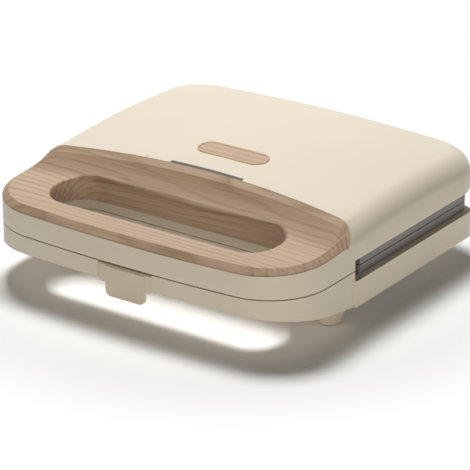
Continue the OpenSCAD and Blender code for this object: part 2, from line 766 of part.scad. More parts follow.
module hinge_arm() {
    translate([-arm_w / 2, 0, 0]) rotate([90, 0, 90]) linear_extrude(arm_w) polygon([
        [base_rear_y - wall - 2, ledge_z], [hinge_y - hinge_eye_d / 2, seam_z], [hinge_y, seam_z],
        [hinge_y + hinge_eye_d / 3, seam_z - hinge_eye_d / 3], [base_rear_y + 3, ledge_z - 4],
        [base_rear_y + 3, foot_h + 4], [base_rear_y, foot_h + 2], [base_rear_y, ledge_z]]);
}

module hinge_arms() {
    color(cream) for (s = [-1, 1]) translate([s * arm_x, 0, 0]) difference() {
        union() {
            hinge_arm();
            translate([0, hinge_y, seam_z]) rod_x(-arm_w / 2, arm_w / 2, hinge_eye_d);
        }
        translate([0, hinge_y, seam_z]) rod_x(-arm_w, arm_w, hinge_pin_d + 2 * pin_play);
    }
}

lug_w = 5;
lug_gap = arm_w / 2 + play;
module hinge_lugs() {
    color(cream) for (s = [-1, 1]) translate([s * arm_x, 0, 0]) for (t = [0, 1]) mirror([t, 0, 0])
        difference() {
            union() {
                translate([lug_gap, 0, 0]) rotate([90, 0, 90]) linear_extrude(lug_w) polygon([
                    [hinge_y - hinge_eye_d / 2, seam_z], [hinge_y + hinge_eye_d / 2, seam_z],
                    [rear_y - wall, skirt_z + 2], [rear_y - wall, skirt_fillet_z],
                    [hinge_y - hinge_eye_d / 2, skirt_fillet_z]]);
                translate([0, hinge_y, seam_z]) rod_x(lug_gap, lug_gap + lug_w, hinge_eye_d);
            }
            translate([0, hinge_y, seam_z]) rod_x(0, lug_gap + 2 * lug_w, hinge_pin_d);
        }
}

module hinge_pins() {
    reach = lug_gap + lug_w;
    color(steel) for (s = [-1, 1])
        translate([s * arm_x, hinge_y, seam_z]) rod_x(-reach, reach, hinge_pin_d);
}

// ---- Latch ----

ear_x = latch_w / 2 - 7;
knuckle_x = ear_x - play - knuckle_w;

// Outline of the latch plate seen from the front, drawn in by e
module latch_face(w, z0, z1, r) {
    polygon(concat(arc(w / 2 - r, z0 + r, r, -90, 0, 5), arc(w / 2 - 0.6, z1 - 0.6, 0.6, 0, 90, 3),
        arc(0.6 - w / 2, z1 - 0.6, 0.6, 90, 180, 3), arc(r - w / 2, z0 + r, r, 180, 270, 5)));
}

module latch() {
    color(cream_latch) difference() {
        union() {
            translate([0, front_y + latch_t + wing_back, 0]) rotate([90, 0, 0]) linear_extrude(latch_t)
                latch_face(latch_w, latch_low, latch_top, 3);
            translate([0, front_y + latch_t, 0]) rotate([90, 0, 0]) linear_extrude(latch_t)
                latch_face(tab_w, latch_low - tab_h, latch_top, 4);
            for (s = [-1, 1]) translate([s * (knuckle_x + knuckle_w / 2), 0, 0]) {
                translate([0, pivot_y, pivot_z]) rod_x(-knuckle_w / 2, knuckle_w / 2, knuckle_d);
                translate([-knuckle_w / 2, front_y + latch_t - eps, pivot_z - knuckle_d / 2])
                    cube([knuckle_w, pivot_y - front_y - latch_t, knuckle_d]);
            }
            translate([-tab_w / 2 + 3, front_y + latch_t - eps, latch_low])
                cube([tab_w - 6, notch_d - latch_t - play, 2.4]);
        }
        translate([0, pivot_y, pivot_z]) rod_x(-latch_w, latch_w, latch_pin_d + 2 * pin_play);
        translate([-latch_w, front_y, latch_top - latch_chamfer]) rotate([45, 0, 0]) translate([0, -5, 0])
            cube([2 * latch_w, 10, 5]);
    }
}

// Bracket under the lid's handle that carries the latch pin
module latch_bracket() {
    color(steel) {
        for (s = [0, 1]) mirror([s, 0, 0]) difference() {
            union() {
                translate([0, pivot_y, pivot_z]) rod_x(ear_x, ear_x + bracket_t, knuckle_d - 0.6);
                translate([ear_x, pivot_y, pivot_z])
                    cube([bracket_t, knuckle_d / 2, lid_low + bracket_t - pivot_z]);
            }
            translate([0, pivot_y, pivot_z]) rod_x(0, latch_w, latch_pin_d);
        }
        translate([-ear_x, pivot_y - knuckle_d / 2, lid_low]) cube([2 * ear_x, knuckle_d, bracket_t]);
    }
}

module latch_pin() {
    reach = ear_x + bracket_t;
    color(steel) translate([0, pivot_y, pivot_z]) rod_x(-reach, reach, latch_pin_d);
}

module latch_spring() {
    len = knuckle_x - play;
    color(steel) translate([0, pivot_y, pivot_z]) difference() {
        rod_x(-len, len, latch_pin_d + 2);
        rod_x(-len - 1, len + 1, latch_pin_d);
    }
}

// ---- Feet ----

module foot(x, y) {
    translate([x, y, 0]) difference() {
        translate([0, 0, pad_out]) rotate_extrude() polygon([[0, 0], [foot_low_d / 2 - 1.5, 0],
            [foot_low_d / 2, 1.5], [foot_top_d / 2, foot_h - pad_out], [0, foot_h - pad_out]]);
        cylinder(d = pad_d, h = pad_h);
    }
}

module front_feet() {
    color(cream) for (s = [-1, 1]) foot(s * front_foot_x, foot_y0);
}

module rear_feet() {
    color(cream) for (s = [-1, 1]) foot(s * rear_foot_x, foot_y1);
}

module foot_pads() {
    color(dark) for (s = [-1, 1]) {
        translate([s * front_foot_x, foot_y0, 0]) cylinder(d = pad_d, h = pad_h);
        translate([s * rear_foot_x, foot_y1, 0]) cylinder(d = pad_d, h = pad_h);
    }
}

upper_housing();
handle_trim();
badge_plate();
indicator_window();
indicator_lamps();
lamp_holder();
upper_handle_cover();
upper_plate();
upper_element();
upper_reflector();
upper_plate_screws();
thermal_fuse();
hinge_lugs();
hinge_pins();
latch_bracket();
latch_pin();
latch_spring();
latch();
lower_housing();
lower_handle_cover();
bottom_cover();
lower_plate();
lower_element();
lower_reflector();
lower_plate_screws();
thermostat();
terminal_block();
supply_wires();
cord_gland();
hinge_arms();
front_feet();
rear_feet();
foot_pads();
cover_screws();
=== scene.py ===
import math

import bmesh
import bpy
import numpy as np
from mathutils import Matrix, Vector


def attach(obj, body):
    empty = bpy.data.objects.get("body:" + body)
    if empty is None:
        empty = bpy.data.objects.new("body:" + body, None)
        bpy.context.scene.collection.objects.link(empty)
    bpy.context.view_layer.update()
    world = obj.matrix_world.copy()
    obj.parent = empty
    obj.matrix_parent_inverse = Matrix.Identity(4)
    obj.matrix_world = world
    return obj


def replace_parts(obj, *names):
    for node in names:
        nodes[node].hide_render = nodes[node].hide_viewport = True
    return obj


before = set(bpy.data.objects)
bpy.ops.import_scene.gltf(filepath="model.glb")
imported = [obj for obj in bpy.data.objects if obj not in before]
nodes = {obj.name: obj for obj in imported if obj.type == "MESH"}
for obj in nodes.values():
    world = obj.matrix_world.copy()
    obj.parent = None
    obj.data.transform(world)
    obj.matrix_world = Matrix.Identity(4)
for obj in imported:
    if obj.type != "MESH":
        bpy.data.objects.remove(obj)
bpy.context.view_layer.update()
mm = 0.001  # the sizes below are in millimetres
weldDistance = 2e-6  # metres, points nearer than this are one
thinnest = 1e-7  # metres, edges shorter than this are dropped

# Sizes that several pieces share, the same as the solids have
toaster = {
    "width": 250.0, "frontY": -122.5, "rearY": 122.5,
    "bowRadius": 1200.0, "frontCorner": 44.0, "rearCorner": 31.0,
    "lidLow": 42.8, "skirtLow": 49.6, "recessY": -43.0,
    "lidTop": 82.5, "sideCrown": 5.0, "lengthCrown": 3.0, "topMidY": 37.9, "fillet": 14.5,
    "ridgeY": -32.2, "ridgeRadius": 700.0, "ridgeEnd": 11.0,
    "seatZ": 58.3, "seatSlope": math.tan(math.radians(3.2)),
    "collarZ": 49.0, "holeWidth": 178.0, "holeY0": -98.5, "holeY1": -55.5, "holeCorner": 20.0,
}


def newMaterial(name):
    # a Principled shader on an empty node tree
    material = bpy.data.materials.new(name)
    material.use_nodes = True
    tree = material.node_tree
    tree.nodes.clear()
    output = tree.nodes.new("ShaderNodeOutputMaterial")
    shader = tree.nodes.new("ShaderNodeBsdfPrincipled")
    tree.links.new(shader.outputs["BSDF"], output.inputs["Surface"])
    return material, tree, shader


def objectNoise(tree, stretch, scale, detail=3.0, roughness=0.5):
    # noise on object coordinates, stretched by a Mapping node
    coords = tree.nodes.new("ShaderNodeTexCoord")
    mapping = tree.nodes.new("ShaderNodeMapping")
    mapping.inputs["Scale"].default_value = stretch
    noise = tree.nodes.new("ShaderNodeTexNoise")
    noise.inputs["Scale"].default_value = scale
    noise.inputs["Detail"].default_value = detail
    noise.inputs["Roughness"].default_value = roughness
    tree.links.new(coords.outputs["Object"], mapping.inputs["Vector"])
    tree.links.new(mapping.outputs["Vector"], noise.inputs["Vector"])
    return noise


def colourRamp(tree, source, stops):
    # stops are (place from 0 to 1, colour)
    ramp = tree.nodes.new("ShaderNodeValToRGB")
    band = ramp.color_ramp
    while len(band.elements) < len(stops):
        band.elements.new(0.5)
    for element, (place, colour) in zip(band.elements, stops):
        element.position = place
        element.color = (*colour, 1.0)
    tree.links.new(source, ramp.inputs["Fac"])
    return ramp


def addBump(tree, shader, height, strength, distance):
    # tilts the shading normal by the slope of height; distance is in metres
    bump = tree.nodes.new("ShaderNodeBump")
    bump.inputs["Strength"].default_value = strength
    bump.inputs["Distance"].default_value = distance
    tree.links.new(height, bump.inputs["Height"])
    tree.links.new(bump.outputs["Normal"], shader.inputs["Normal"])


def plasticMaterial(name, light, dark, roughness, grain=900.0, bump=0.12):
    # moulded plastic: slow colour drift, fine spark-eroded grain
    material, tree, shader = newMaterial(name)
    drift = objectNoise(tree, (1, 1, 1), 9.0, 2.0)
    ramp = colourRamp(tree, drift.outputs["Fac"], [(0.3, dark), (0.7, light)])
    tree.links.new(ramp.outputs["Color"], shader.inputs["Base Color"])
    fine = objectNoise(tree, (1, 1, 1), grain, 2.0)
    polish = tree.nodes.new("ShaderNodeMapRange")
    polish.inputs["To Min"].default_value = roughness - 0.05
    polish.inputs["To Max"].default_value = roughness + 0.05
    tree.links.new(fine.outputs["Fac"], polish.inputs["Value"])
    tree.links.new(polish.outputs["Result"], shader.inputs["Roughness"])
    addBump(tree, shader, fine.outputs["Fac"], bump, 0.00006)
    return material


def metalMaterial(name, light, dark, roughness, stretch=(4, 60, 60)):
    # brushed metal: streaks drawn out along X
    material, tree, shader = newMaterial(name)
    streak = objectNoise(tree, stretch, 24.0, 4.0)
    ramp = colourRamp(tree, streak.outputs["Fac"], [(0.3, dark), (0.7, light)])
    tree.links.new(ramp.outputs["Color"], shader.inputs["Base Color"])
    shader.inputs["Metallic"].default_value = 1.0
    polish = tree.nodes.new("ShaderNodeMapRange")
    polish.inputs["To Min"].default_value = roughness - 0.08
    polish.inputs["To Max"].default_value = roughness + 0.08
    tree.links.new(streak.outputs["Fac"], polish.inputs["Value"])
    tree.links.new(polish.outputs["Result"], shader.inputs["Roughness"])
    addBump(tree, shader, streak.outputs["Fac"], 0.1, 0.00005)
    return material


def withPaintedShade(tree, colour, look):
    # painted shade: the mesh's per-point value darkens the wood, colour times the shade colour, by that
    # share; on the flats it is an even darkening of the wood's own tone
    if "toneAndPaintedShade" not in look:
        return colour
    value = tree.nodes.new("ShaderNodeAttribute")
    value.attribute_name = "toneAndPaintedShade"
    tint = tree.nodes.new("ShaderNodeMix")
    tint.data_type = "RGBA"
    tint.blend_type = "MULTIPLY"
    tint.clamp_factor = True
    tint.inputs[7].default_value = (*look["toneAndPaintedShade"], 1.0)
    tree.links.new(value.outputs["Fac"], tint.inputs[0])
    tree.links.new(colour, tint.inputs[6])
    return tint.outputs[2]


def woodMaterial(name, look):
    # Growth layers are upright sheets across the depth: bands over a tilted Y, bent by stretched noise.
    # Fine streaks and a slow change of tone lie on top.
    material, tree, shader = newMaterial(name)
    coords = tree.nodes.new("ShaderNodeTexCoord")
    mapping = tree.nodes.new("ShaderNodeMapping")
    mapping.inputs["Rotation"].default_value = look["turn"]
    tree.links.new(coords.outputs["Object"], mapping.inputs["Vector"])
    squeeze = tree.nodes.new("ShaderNodeMapping")
    squeeze.inputs["Scale"].default_value = look["bendStretch"]
    tree.links.new(mapping.outputs["Vector"], squeeze.inputs["Vector"])
    bend = tree.nodes.new("ShaderNodeTexNoise")
    bend.inputs["Scale"].default_value = 1.0
    bend.inputs["Detail"].default_value = 2.0
    tree.links.new(squeeze.outputs["Vector"], bend.inputs["Vector"])
    shift = tree.nodes.new("ShaderNodeVectorMath")
    shift.operation = "MULTIPLY_ADD"
    shift.inputs[1].default_value = (0.0, look["bend"], 0.0)
    tree.links.new(bend.outputs["Color"], shift.inputs[0])
    tree.links.new(mapping.outputs["Vector"], shift.inputs[2])
    layers = tree.nodes.new("ShaderNodeTexWave")
    layers.wave_type = "BANDS"
    layers.bands_direction = "Y"
    layers.wave_profile = "SAW"
    layers.inputs["Scale"].default_value = 0.1 * math.pi / look["spacing"]
    tree.links.new(shift.outputs["Vector"], layers.inputs["Vector"])
    layerStops = [(0.0, look["mid"]), (0.12, look["light"]), (0.62, look["light"]),
                  (0.93, look["dark"]), (1.0, look["mid"])]
    layerRamp = colourRamp(tree, layers.outputs["Fac"], layerStops)
    fine = objectNoise(tree, look["streak"], 1.0, 3.0, 0.6)
    fineRamp = colourRamp(tree, fine.outputs["Fac"],
                          [(0.30, look["dark"]), (0.46, look["mid"]), (0.60, look["light"])])
    patch = objectNoise(tree, look["patch"], 1.0, 2.0)
    share = tree.nodes.new("ShaderNodeMapRange")
    share.inputs["From Min"].default_value = 0.35
    share.inputs["From Max"].default_value = 0.65
    share.inputs["To Min"].default_value = look["fineShare"][0]
    share.inputs["To Max"].default_value = look["fineShare"][1]
    tree.links.new(patch.outputs["Fac"], share.inputs["Value"])
    mix = tree.nodes.new("ShaderNodeMix")
    mix.data_type = "RGBA"
    tree.links.new(share.outputs["Result"], mix.inputs[0])
    tree.links.new(layerRamp.outputs["Color"], mix.inputs[6])
    tree.links.new(fineRamp.outputs["Color"], mix.inputs[7])
    tree.links.new(withPaintedShade(tree, mix.outputs[2], look), shader.inputs["Base Color"])
    shader.inputs["Roughness"].default_value = look["roughness"]
    addBump(tree, shader, fine.outputs["Fac"], 0.15, 0.0001)
    return material


print("materials")
cream = plasticMaterial("creamPlastic", (0.83, 0.745, 0.60), (0.80, 0.715, 0.57), 0.42)
latchCream = plasticMaterial("latchPlastic", (0.79, 0.695, 0.525), (0.76, 0.665, 0.50), 0.45)
wood = woodMaterial("handleWood", {
    "turn": (0.75, 0.0, 0.03), "bendStretch": (9.0, 26.0, 26.0), "bend": 0.014, "spacing": 0.0038,
    "streak": (5.0, 620.0, 240.0), "patch": (6.0, 30.0, 30.0), "fineShare": (0.25, 0.7),
    "light": (0.70, 0.53, 0.38), "mid": (0.60, 0.435, 0.295), "dark": (0.40, 0.27, 0.175),
    # the colour that the painted shade multiplies in at full value
    "roughness": 0.62, "toneAndPaintedShade": (0.53, 0.45, 0.36),
})
badgeWood = woodMaterial("badgeWood", {
    "turn": (0.0, 0.0, 0.02), "bendStretch": (12.0, 40.0, 40.0), "bend": 0.006, "spacing": 0.005,
    "streak": (9.0, 700.0, 300.0), "patch": (12.0, 60.0, 60.0), "fineShare": (0.5, 0.8),
    "light": (0.60, 0.42, 0.29), "mid": (0.54, 0.365, 0.245), "dark": (0.42, 0.265, 0.17),
    "roughness": 0.5,
})
nonstick = plasticMaterial("nonstickCoat", (0.235, 0.215, 0.205), (0.205, 0.188, 0.18), 0.4, 1500.0, 0.3)
smoked = plasticMaterial("smokedWindow", (0.095, 0.078, 0.056), (0.08, 0.066, 0.047), 0.42, 400.0, 0.03)
lampRed = plasticMaterial("lampPlastic", (0.62, 0.10, 0.05), (0.55, 0.08, 0.04), 0.25)
innerWhite = plasticMaterial("innerPlastic", (0.72, 0.71, 0.66), (0.68, 0.67, 0.62), 0.5)
ceramic = plasticMaterial("thermostatCeramic", (0.80, 0.76, 0.66), (0.74, 0.70, 0.60), 0.6)
rubber = plasticMaterial("padRubber", (0.035, 0.034, 0.033), (0.025, 0.025, 0.024), 0.75, 700.0, 0.4)
glandRubber = plasticMaterial("glandRubber", (0.055, 0.052, 0.048), (0.04, 0.038, 0.036), 0.6, 700.0, 0.3)
sheath = plasticMaterial("wireSheath", (0.10, 0.20, 0.42), (0.08, 0.17, 0.36), 0.45)
elementSteel = metalMaterial("elementSteel", (0.42, 0.40, 0.38), (0.30, 0.28, 0.27), 0.42)
sheetSteel = metalMaterial("sheetSteel", (0.72, 0.72, 0.71), (0.60, 0.60, 0.59), 0.34)
fixingSteel = metalMaterial("fixingSteel", (0.60, 0.60, 0.60), (0.48, 0.48, 0.48), 0.30, (30, 30, 30))


def meshPiece(name, parts, material, body, smoothAngle=38.0, marks=None):
    # parts are (points in millimetres, list of faces), joined one after the other and scaled to metres
    points = np.concatenate([p for p, f in parts]) * mm
    faces, start = [], 0
    for p, f in parts:
        faces += (np.array(f) + start).tolist()
        start += len(p)
    mesh = bpy.data.meshes.new(name)
    mesh.from_pydata(points.tolist(), [], faces)
    # the marks are the painted shade, and on the flats the wood's own tone, kept per point for the material
    if marks is not None:
        mesh.attributes.new("toneAndPaintedShade", "FLOAT", "POINT").data.foreach_set("value", np.float32(marks))
    return finishPiece(name, mesh, material, body, smoothAngle)


def finishPiece(name, mesh, material, body, smoothAngle=38.0):
    # merges double points, shades smooth below smoothAngle and hangs the piece on its body
    work = bmesh.new()
    work.from_mesh(mesh)
    bmesh.ops.remove_doubles(work, verts=work.verts, dist=weldDistance)
    bmesh.ops.dissolve_degenerate(work, dist=thinnest, edges=work.edges)
    work.to_mesh(mesh)
    work.free()
    mesh.update()
    mesh.set_sharp_from_angle(angle=math.radians(smoothAngle))
    mesh.polygons.foreach_set("use_smooth", np.ones(len(mesh.polygons), bool))
    mesh.materials.clear()
    mesh.materials.append(material)
    piece = bpy.data.objects.new(name, mesh)
    bpy.context.scene.collection.objects.link(piece)
    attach(piece, body)
    return piece


def gridFaces(rows, cols, wrapRows=False, wrapCols=False, flip=False):
    # quads between neighbouring points of a rows x cols grid
    r = np.arange(rows if wrapRows else rows - 1)
    c = np.arange(cols if wrapCols else cols - 1)
    a = (r[:, None] * cols + c[None, :]).ravel()
    b = (r[:, None] * cols + (c[None, :] + 1) % cols).ravel()
    d = (((r[:, None] + 1) % rows) * cols + c[None, :]).ravel()
    e = (((r[:, None] + 1) % rows) * cols + (c[None, :] + 1) % cols).ravel()
    quads = np.stack([a, b, e, d], 1) if not flip else np.stack([a, d, e, b], 1)
    return quads.tolist()


# angles in degrees: faces flatter than level are joined, edges sharper than sharp are rounded
rounding = {"segments": 3, "level": 0.6, "sharp": 38.0, "smooth": 35.0}


def roundedCopy(name, node, material, body, radius):
    # the solid's own faces, joined where they are level, with a bevel of the radius on each sharp edge
    s = rounding
    mesh = nodes[node].data.copy()
    work = bmesh.new()
    work.from_mesh(mesh)
    bmesh.ops.remove_doubles(work, verts=work.verts, dist=weldDistance)
    bmesh.ops.dissolve_limit(work, angle_limit=math.radians(s["level"]), verts=work.verts, edges=work.edges)
    work.to_mesh(mesh)
    work.free()
    piece = finishPiece(name, mesh, material, body, s["smooth"])
    bevel = piece.modifiers.new("roundEdges", "BEVEL")
    bevel.width = radius * mm
    bevel.segments = s["segments"]
    bevel.limit_method = "ANGLE"
    bevel.angle_limit = math.radians(s["sharp"])
    bevel.use_clamp_overlap = True
    bevel.harden_normals = False
    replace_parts(piece, node)
    return piece


def turnAngle(width):
    # direction, at the front corner's centre, of the point where the corner meets the bowed front
    t = toaster
    cx = width / 2 - t["frontCorner"]
    cy = t["frontY"] + t["bowRadius"] - math.sqrt((t["bowRadius"] - t["frontCorner"]) ** 2 - cx ** 2)
    return cx, cy, math.atan2(cy - t["frontY"] - t["bowRadius"], cx)


def frontOutline(endY, counts=(40, 30, 14)):
    # right half from the front middle: wide bow, corner arc, straight side up to endY; points and normals
    t = toaster
    cx, cy, turn = turnAngle(t["width"])
    bow = np.linspace(-math.pi / 2, turn, counts[0])
    corner = np.linspace(turn, 0, counts[1])[1:]
    side = np.linspace(cy, endY, counts[2])[1:]
    normals = np.concatenate([
        np.stack([np.cos(bow), np.sin(bow)], 1), np.stack([np.cos(corner), np.sin(corner)], 1),
        np.tile([1.0, 0.0], (len(side), 1))])
    points = np.concatenate([
        [0, t["frontY"] + t["bowRadius"]] + t["bowRadius"] * normals[:len(bow)],
        [cx, cy] + t["frontCorner"] * normals[len(bow):len(bow) + len(corner)],
        np.stack([np.full(len(side), t["width"] / 2), side], 1)])
    return points, normals


def smoothStep(u):
    # from 0 to 1 with level ends: three squares less two cubes
    u = np.clip(u, 0, 1)
    return u * u * (3 - 2 * u)


def topHeight(x, y):
    # crowned top: the highest point less a parabola across the width and one along the depth
    t = toaster
    run = (np.maximum(y, t["ridgeY"]) - t["topMidY"]) / (t["topMidY"] - t["ridgeY"])
    return t["lidTop"] - t["sideCrown"] * (x / (t["width"] / 2)) ** 2 - t["lengthCrown"] * run ** 2


def ridgeEndCentre():
    # centre of the small arc: one radius in from the side, and one radius before the wide arc there
    t = toaster
    endX = t["width"] / 2 - t["ridgeEnd"]
    return endX, t["ridgeY"] - endX ** 2 / (2 * t["ridgeRadius"]) - t["ridgeEnd"]


def ridgeLine(x):
    # ridge in plan: a wide arc, turned into the side by a small arc
    t = toaster
    a = np.abs(x)
    endX, endY = ridgeEndCentre()
    wide = t["ridgeY"] - a ** 2 / (2 * t["ridgeRadius"])
    small = endY + np.sqrt(np.maximum(t["ridgeEnd"] ** 2 - (a - endX) ** 2, 0))
    return np.where(a < endX, wide, small)


lid = {
    "capInset": 22.0,  # where the fillet strip hands over to the crowned cap
    "fillet": 18, "side": 46, "corner": 20, "rear": 24,  # numbers of points along each stretch
    "edgeSteps": 5, "capSteps": 3, "wallSteps": 4,
    "crowd": 1.25,  # power that draws the side's points together near the ridge
    "blend": 46.0,  # depth over which the rows leave the ridge's line
    "edge": 0.7,  # rounding of the moulding's lower edge
    "innerTop": 79.0,  # faces of the solid above this lie under the cap and are dropped
    "wallNear": 0.35, "roofNear": 1.0, "level": 0.01,  # a face this near the wall or roof is skin
    "behindRidge": 1.0, "seatDepth": 1.5,
    "rimNear": 0.4, "rimAbove": 0.1, "pullY": -10.0,  # the rim is drawn in toward (0, pullY)
}


def lidSkin():
    # Rows follow the outline, columns climb the wall, round the fillet and run in to the cap.
    # Each point moves toward the ridge line near the front, so the first row is the ridge itself.
    t, s = toaster, lid
    share = np.linspace(0, 1, s["side"]) ** s["crowd"]
    side = t["ridgeY"] + (t["rearY"] - t["rearCorner"] - t["ridgeY"]) * share
    arc = np.linspace(0, math.pi / 2, s["corner"])[1:]
    base = np.concatenate([
        np.stack([np.full(len(side), t["width"] / 2), side], 1),
        np.stack([t["width"] / 2 - t["rearCorner"] + t["rearCorner"] * np.cos(arc),
                  t["rearY"] - t["rearCorner"] + t["rearCorner"] * np.sin(arc)], 1)])
    normal = np.concatenate([np.tile([1.0, 0.0], (len(side), 1)), np.stack([np.cos(arc), np.sin(arc)], 1)])
    rearX = (t["width"] / 2 - t["rearCorner"]) * (1 - np.linspace(0, 1, s["rear"] + 1)[1:])
    base = np.concatenate([base, np.stack([rearX, np.full(len(rearX), t["rearY"])], 1)])
    normal = np.concatenate([normal, np.tile([0.0, 1.0], (len(rearX), 1))])
    angle = np.linspace(0, math.pi / 2, s["fillet"])
    steps, run = s["edgeSteps"], s["capSteps"]
    edgeAngle = np.linspace(0, math.pi / 2, steps)
    inset = np.concatenate([s["edge"] * (1 - np.sin(edgeAngle)), t["fillet"] * (1 - np.cos(angle)),
                            np.linspace(t["fillet"], s["capInset"], run + 1)[1:]])
    drop = np.concatenate([np.zeros(steps), t["fillet"] * (1 - np.sin(angle)), np.zeros(run)])
    plan = base[:, None, :] - inset[None, :, None] * normal[:, None, :]
    reference = t["ridgeY"]
    fade = smoothStep(1 - (plan[..., 1] - reference) / s["blend"])
    ridgeX = plan[..., 0].copy()
    ridgeX[:, :steps] = plan[:, steps - 1:steps, 0]
    plan[..., 1] += (ridgeLine(ridgeX) - reference) * fade
    height = topHeight(plan[..., 0], plan[..., 1]) - drop[None, :]
    height[:, :steps] = t["skirtLow"] + s["edge"] * (1 - np.cos(edgeAngle))[None, :]
    right = np.concatenate([plan, height[..., None]], 2)
    rows, cols = right.shape[:2]
    left = right.copy()
    left[..., 0] *= -1
    strip = [(right.reshape(-1, 3), gridFaces(rows, cols, flip=True)),
             (left.reshape(-1, 3), gridFaces(rows, cols))]
    # the cap: rows between equal points of the two strips' inner edges
    rowCount = len(side) + len(arc)
    rimX = base[:rowCount, 0] - s["capInset"] * normal[:rowCount, 0]
    rimY = base[:rowCount, 1] - s["capInset"] * normal[:rowCount, 1]
    half = rimX[-1] * (1 - np.linspace(0, 1, s["rear"] + 1))
    share = np.concatenate([half, -half[::-1][1:]]) / rimX[-1]
    capX = rimX[:, None] * share[None, :]
    capY = np.repeat(rimY[:, None], len(share), 1)
    fade = smoothStep(1 - (capY - reference) / s["blend"])
    capY = capY + (ridgeLine(capX) - reference) * fade
    cap = np.stack([capX, capY, topHeight(capX, capY)], 2)
    strip.append((cap.reshape(-1, 3), gridFaces(*cap.shape[:2], flip=True)))
    return strip


def handleBand():
    # upright wall below the trim, with a rounded lower edge; its top follows the sloping seat
    t = toaster
    ridgeEndY = ridgeEndCentre()[1]
    points, normals = frontOutline(ridgeEndY)
    tops = t["seatZ"] + (points[:, 1] - t["frontY"]) * t["seatSlope"]
    rear = np.stack([np.full(5, t["width"] / 2), np.linspace(ridgeEndY, t["recessY"], 5)], 1)
    return (bandPatch(points, normals, tops)
            + bandPatch(rear, np.tile([1.0, 0.0], (5, 1)), np.full(5, t["skirtLow"] + lid["edge"])))


def bandPatch(points, normals, tops):
    # a wall over a plan line, mirrored to both sides; a quarter circle rounds its lower edge
    t, s = toaster, lid
    edgeAngle = np.linspace(0, math.pi / 2, s["edgeSteps"])
    inset = np.concatenate([s["edge"] * (1 - np.sin(edgeAngle)), np.zeros(s["wallSteps"])])
    plan = points[:, None, :] - inset[None, :, None] * normals[:, None, :]
    low = t["lidLow"] + s["edge"] * (1 - np.cos(edgeAngle))
    rise = low[-1] + (tops[:, None] - low[-1]) * np.linspace(0, 1, s["wallSteps"] + 1)[None, 1:]
    height = np.concatenate([np.repeat(low[None, :], len(points), 0), rise], 1)
    right = np.concatenate([plan, height[..., None]], 2)
    left = right.copy()
    left[..., 0] *= -1
    rows, cols = right.shape[:2]
    return [(right.reshape(-1, 3), gridFaces(rows, cols, flip=True)),
            (left.reshape(-1, 3), gridFaces(rows, cols))]


def outlineDistance(x, y):
    # distance inward from the lid's outline in plan: the least of those from side, bow and arcs
    t = toaster
    ax = np.abs(x)
    cx, cy = turnAngle(t["width"])[:2]
    side = t["width"] / 2 - ax
    front = t["bowRadius"] - np.hypot(ax, y - t["frontY"] - t["bowRadius"])
    corner = t["frontCorner"] - np.hypot(ax - cx, y - cy)
    inCorner = (ax > cx) & (y < cy)
    rx, ry = t["width"] / 2 - t["rearCorner"], t["rearY"] - t["rearCorner"]
    rear = t["rearY"] - y
    rearCorner = t["rearCorner"] - np.hypot(ax - rx, y - ry)
    inRear = (ax > rx) & (y > ry)
    plain = np.minimum(np.minimum(side, front), rear)
    return np.where(inCorner, np.minimum(corner, front), np.where(inRear, rearCorner, plain))


def innerFaces(node):
    # the solid's faces but for its outer skin and the trim's seat: underside, hollows, hole wall
    t, s = toaster, lid
    mesh = nodes[node].data
    co = np.zeros(len(mesh.vertices) * 3)
    mesh.vertices.foreach_get("co", co)
    co = co.reshape(-1, 3) / mm
    tri = np.zeros(len(mesh.loops), np.int32)
    mesh.loops.foreach_get("vertex_index", tri)
    tri = tri.reshape(-1, 3)
    middle = co[tri].mean(1)
    depth = outlineDistance(middle[:, 0], middle[:, 1])
    onWall = depth < s["wallNear"]
    roof = topHeight(middle[:, 0], middle[:, 1]) - t["fillet"] + np.sqrt(
        np.maximum(t["fillet"] ** 2 - np.maximum(t["fillet"] - depth, 0) ** 2, 0))
    behind = middle[:, 1] > ridgeLine(middle[:, 0]) - s["behindRidge"]
    onRoof = behind & (np.abs(middle[:, 2] - roof) < s["roofNear"])
    heights = co[tri][:, :, 2]
    level = heights.max(1) - heights.min(1) < s["level"]
    seat = (middle[:, 2] > t["seatZ"] - s["seatDepth"]) & ~behind
    underCap = behind & (heights.min(1) > s["innerTop"])
    keep = ~((onWall & ~level) | onRoof | seat | underCap)
    rim = outlineDistance(co[:, 0], co[:, 1])
    near = (rim < s["rimNear"]) & (co[:, 2] < t["skirtLow"] + s["rimAbove"])
    direction = co[:, :2] - [0.0, s["pullY"]]
    direction /= np.linalg.norm(direction, axis=1)[:, None]
    co[near, :2] -= direction[near] * s["edge"]
    return co, tri[keep].tolist()


print("lid")
lidParts = lidSkin() + handleBand() + [innerFaces("upper_housing")]
upperHousing = meshPiece("upperHousing", lidParts, cream, "lid", 40.0)
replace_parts(upperHousing, "upper_housing")


trim = {
    "bevel": 4.4, "bevelFall": 0.7, "barRise": 0.3, "lipRear": 3.0, "lipFront": 1.0, "edge": 0.45,
    "scoopLength": 28.0, "scoopPower": 2.2, "collar": 2.4,
    "flatRise": 2.5, "flatFrom": 20.0, "flatOver": 40.0,  # the flat climbs by flatRise over each flatOver
    "crestInset": 5.6, "lip": 0.6, "sideRise": 9.0,
    "across": 64, "down": 7, "holeFront": 34, "holeRear": 46,  # numbers of points
    "tail": 6.0, "full": 0.62, "lineAt": 1.4, "lineWidth": 1.3, "lipPale": 0.6,  # how the painted shade runs out
    # painted shade per region: bevels and scoop darker where they turn from the light, a darker line in the
    # crease, none on the opening's wall; the flat value is an even darkening of the wood's own tone
    "toneAndPaintedShade": {"flat": 0.34, "bevel": 0.62, "ridgeBevel": 0.52, "scoop": 1.0, "line": 1.2, "wall": 0.0},
}


